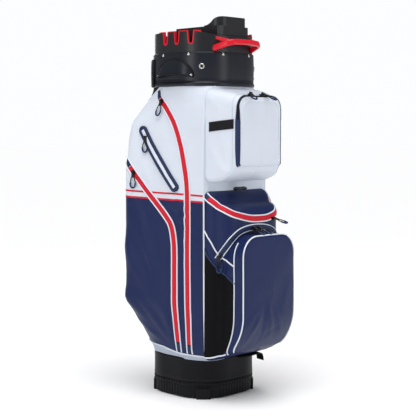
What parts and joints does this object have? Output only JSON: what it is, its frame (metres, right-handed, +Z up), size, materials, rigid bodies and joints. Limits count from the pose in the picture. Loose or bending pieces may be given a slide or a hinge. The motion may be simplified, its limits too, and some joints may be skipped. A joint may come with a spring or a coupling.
{
  "type": "golf cart bag",
  "caption": "Free-standing golf cart bag with a slotted club organiser top, stiffened fabric body, zipped side and front pockets, lift handle and moulded base.",
  "frame": {"origin": "centre of the base on the surface the bag stands on", "axes": "+Z up, the front pockets face -Y, the club wells open upwards"},
  "size_m": [0.3336, 0.3334, 0.897],
  "materials": {
    "white_fabric": "coated polyester, faint cool tint, semi-matt",
    "navy_fabric": "coated nylon, softly shiny",
    "red_zip": "woven zip tape",
    "black_mesh": "spacer mesh",
    "black_webbing": "woven webbing",
    "black_fabric": "padded fabric",
    "divider_cloth": "brushed lining cloth",
    "pull_cord": "braided cord",
    "black_plastic": "moulded, satin",
    "collar_cover": "grained cover sheet",
    "board_plastic": "sheet",
    "red_plastic": "moulded, smooth",
    "red_rubber": "soft liner",
    "foot_rubber": "matt",
    "nickel": "plated",
    "rod_metal": "drawn",
    "slider_metal": "black enamel"
  },
  "bodies": {
    "bag": {"base_feet": "foot_rubber", "base_cup": "black_plastic", "base_floor": "board_plastic", "base_band": "collar_cover", "body_tube": "white_fabric", "spine_board": "board_plastic", "stay_rods": "rod_metal", "centre_dividers": "divider_cloth", "outer_dividers": "divider_cloth", "rim_ring": "black_plastic", "club_grid": "black_plastic", "wood_tower": "black_plastic", "slot_liner_left": "red_rubber", "slot_liner_back": "red_rubber", "slot_liner_right": "red_rubber", "collar_shell": "collar_cover", "collar_rivets": "nickel", "collar_eyelets": "nickel", "side_grip_left": "collar_cover", "side_grip_right": "collar_cover", "lift_handle": "red_plastic", "side_pocket_left": "white_fabric", "side_pocket_right": "white_fabric", "upper_pocket": "white_fabric", "cooler_pocket": "navy_fabric", "ball_pocket": "navy_fabric", "back_panel": "black_fabric", "back_yoke": "collar_cover", "side_zips_left": "red_zip", "side_zips_right": "red_zip", "upper_zip": "navy_fabric", "cooler_zip": "red_zip", "arch_zip": "white_fabric", "mesh_pockets": "black_mesh", "glove_patch": "black_fabric", "base_strap": "black_webbing"},
    "zip_pull_front_zip_left": {"slider_front_zip_left": "slider_metal", "pull_front_zip_left": "pull_cord"},
    "zip_pull_rear_zip_left": {"slider_rear_zip_left": "slider_metal", "pull_rear_zip_left": "pull_cord"},
    "zip_pull_diagonal_zip_left": {"slider_diagonal_zip_left": "slider_metal", "pull_diagonal_zip_left": "pull_cord"},
    "zip_pull_front_zip_right": {"slider_front_zip_right": "slider_metal", "pull_front_zip_right": "pull_cord"},
    "zip_pull_rear_zip_right": {"slider_rear_zip_right": "slider_metal", "pull_rear_zip_right": "pull_cord"},
    "zip_pull_diagonal_zip_right": {"slider_diagonal_zip_right": "slider_metal", "pull_diagonal_zip_right": "pull_cord"},
    "zip_pull_upper_left": {"slider_upper_left": "slider_metal", "pull_upper_left": "pull_cord"},
    "zip_pull_upper_right": {"slider_upper_right": "slider_metal", "pull_upper_right": "pull_cord"},
    "zip_pull_cooler": {"slider_cooler": "slider_metal", "pull_cooler": "pull_cord"},
    "zip_pull_ball_left": {"slider_ball_left": "slider_metal", "pull_ball_left": "pull_cord"},
    "zip_pull_ball_right": {"slider_ball_right": "slider_metal", "pull_ball_right": "pull_cord"},
    "zip_pull_ball_side": {"slider_ball_side": "slider_metal", "pull_ball_side": "pull_cord"}
  },
  "joints": [
    {"name": "front_zip_left_slide", "type": "slide", "parent": "bag", "child": "zip_pull_front_zip_left", "axis": [-0.1266, -0.7513, -0.6477], "range_m": [-0.004, 0.04]},
    {"name": "rear_zip_left_slide", "type": "slide", "parent": "bag", "child": "zip_pull_rear_zip_left", "axis": [0.1882, -0.6359, -0.7485], "range_m": [0, 0.13]},
    {"name": "diagonal_zip_left_slide", "type": "slide", "parent": "bag", "child": "zip_pull_diagonal_zip_left", "axis": [0.0878, -0.5737, -0.8143], "range_m": [0, 0.12]},
    {"name": "front_zip_right_slide", "type": "slide", "parent": "bag", "child": "zip_pull_front_zip_right", "axis": [0.1266, -0.7513, -0.6477], "range_m": [-0.004, 0.04]},
    {"name": "rear_zip_right_slide", "type": "slide", "parent": "bag", "child": "zip_pull_rear_zip_right", "axis": [-0.1882, -0.6359, -0.7485], "range_m": [0, 0.13]},
    {"name": "diagonal_zip_right_slide", "type": "slide", "parent": "bag", "child": "zip_pull_diagonal_zip_right", "axis": [-0.0878, -0.5737, -0.8143], "range_m": [0, 0.12]},
    {"name": "upper_left_slide", "type": "slide", "parent": "bag", "child": "zip_pull_upper_left", "axis": [1, 0, 0], "range_m": [-0.012, 0.017]},
    {"name": "upper_right_slide", "type": "slide", "parent": "bag", "child": "zip_pull_upper_right", "axis": [1, 0, 0], "range_m": [-0.007, 0.028]},
    {"name": "cooler_slide", "type": "slide", "parent": "bag", "child": "zip_pull_cooler", "axis": [1, 0, 0], "range_m": [-0.13, 0.012]},
    {"name": "ball_left_slide", "type": "slide", "parent": "bag", "child": "zip_pull_ball_left", "axis": [1, 0, 0], "range_m": [-0.018, 0]},
    {"name": "ball_right_slide", "type": "slide", "parent": "bag", "child": "zip_pull_ball_right", "axis": [1, 0, 0], "range_m": [0, 0.03]},
    {"name": "ball_side_slide", "type": "slide", "parent": "bag", "child": "zip_pull_ball_side", "axis": [0.0989, -0.6333, 0.7676], "range_m": [0, 0.024]}
  ]
}
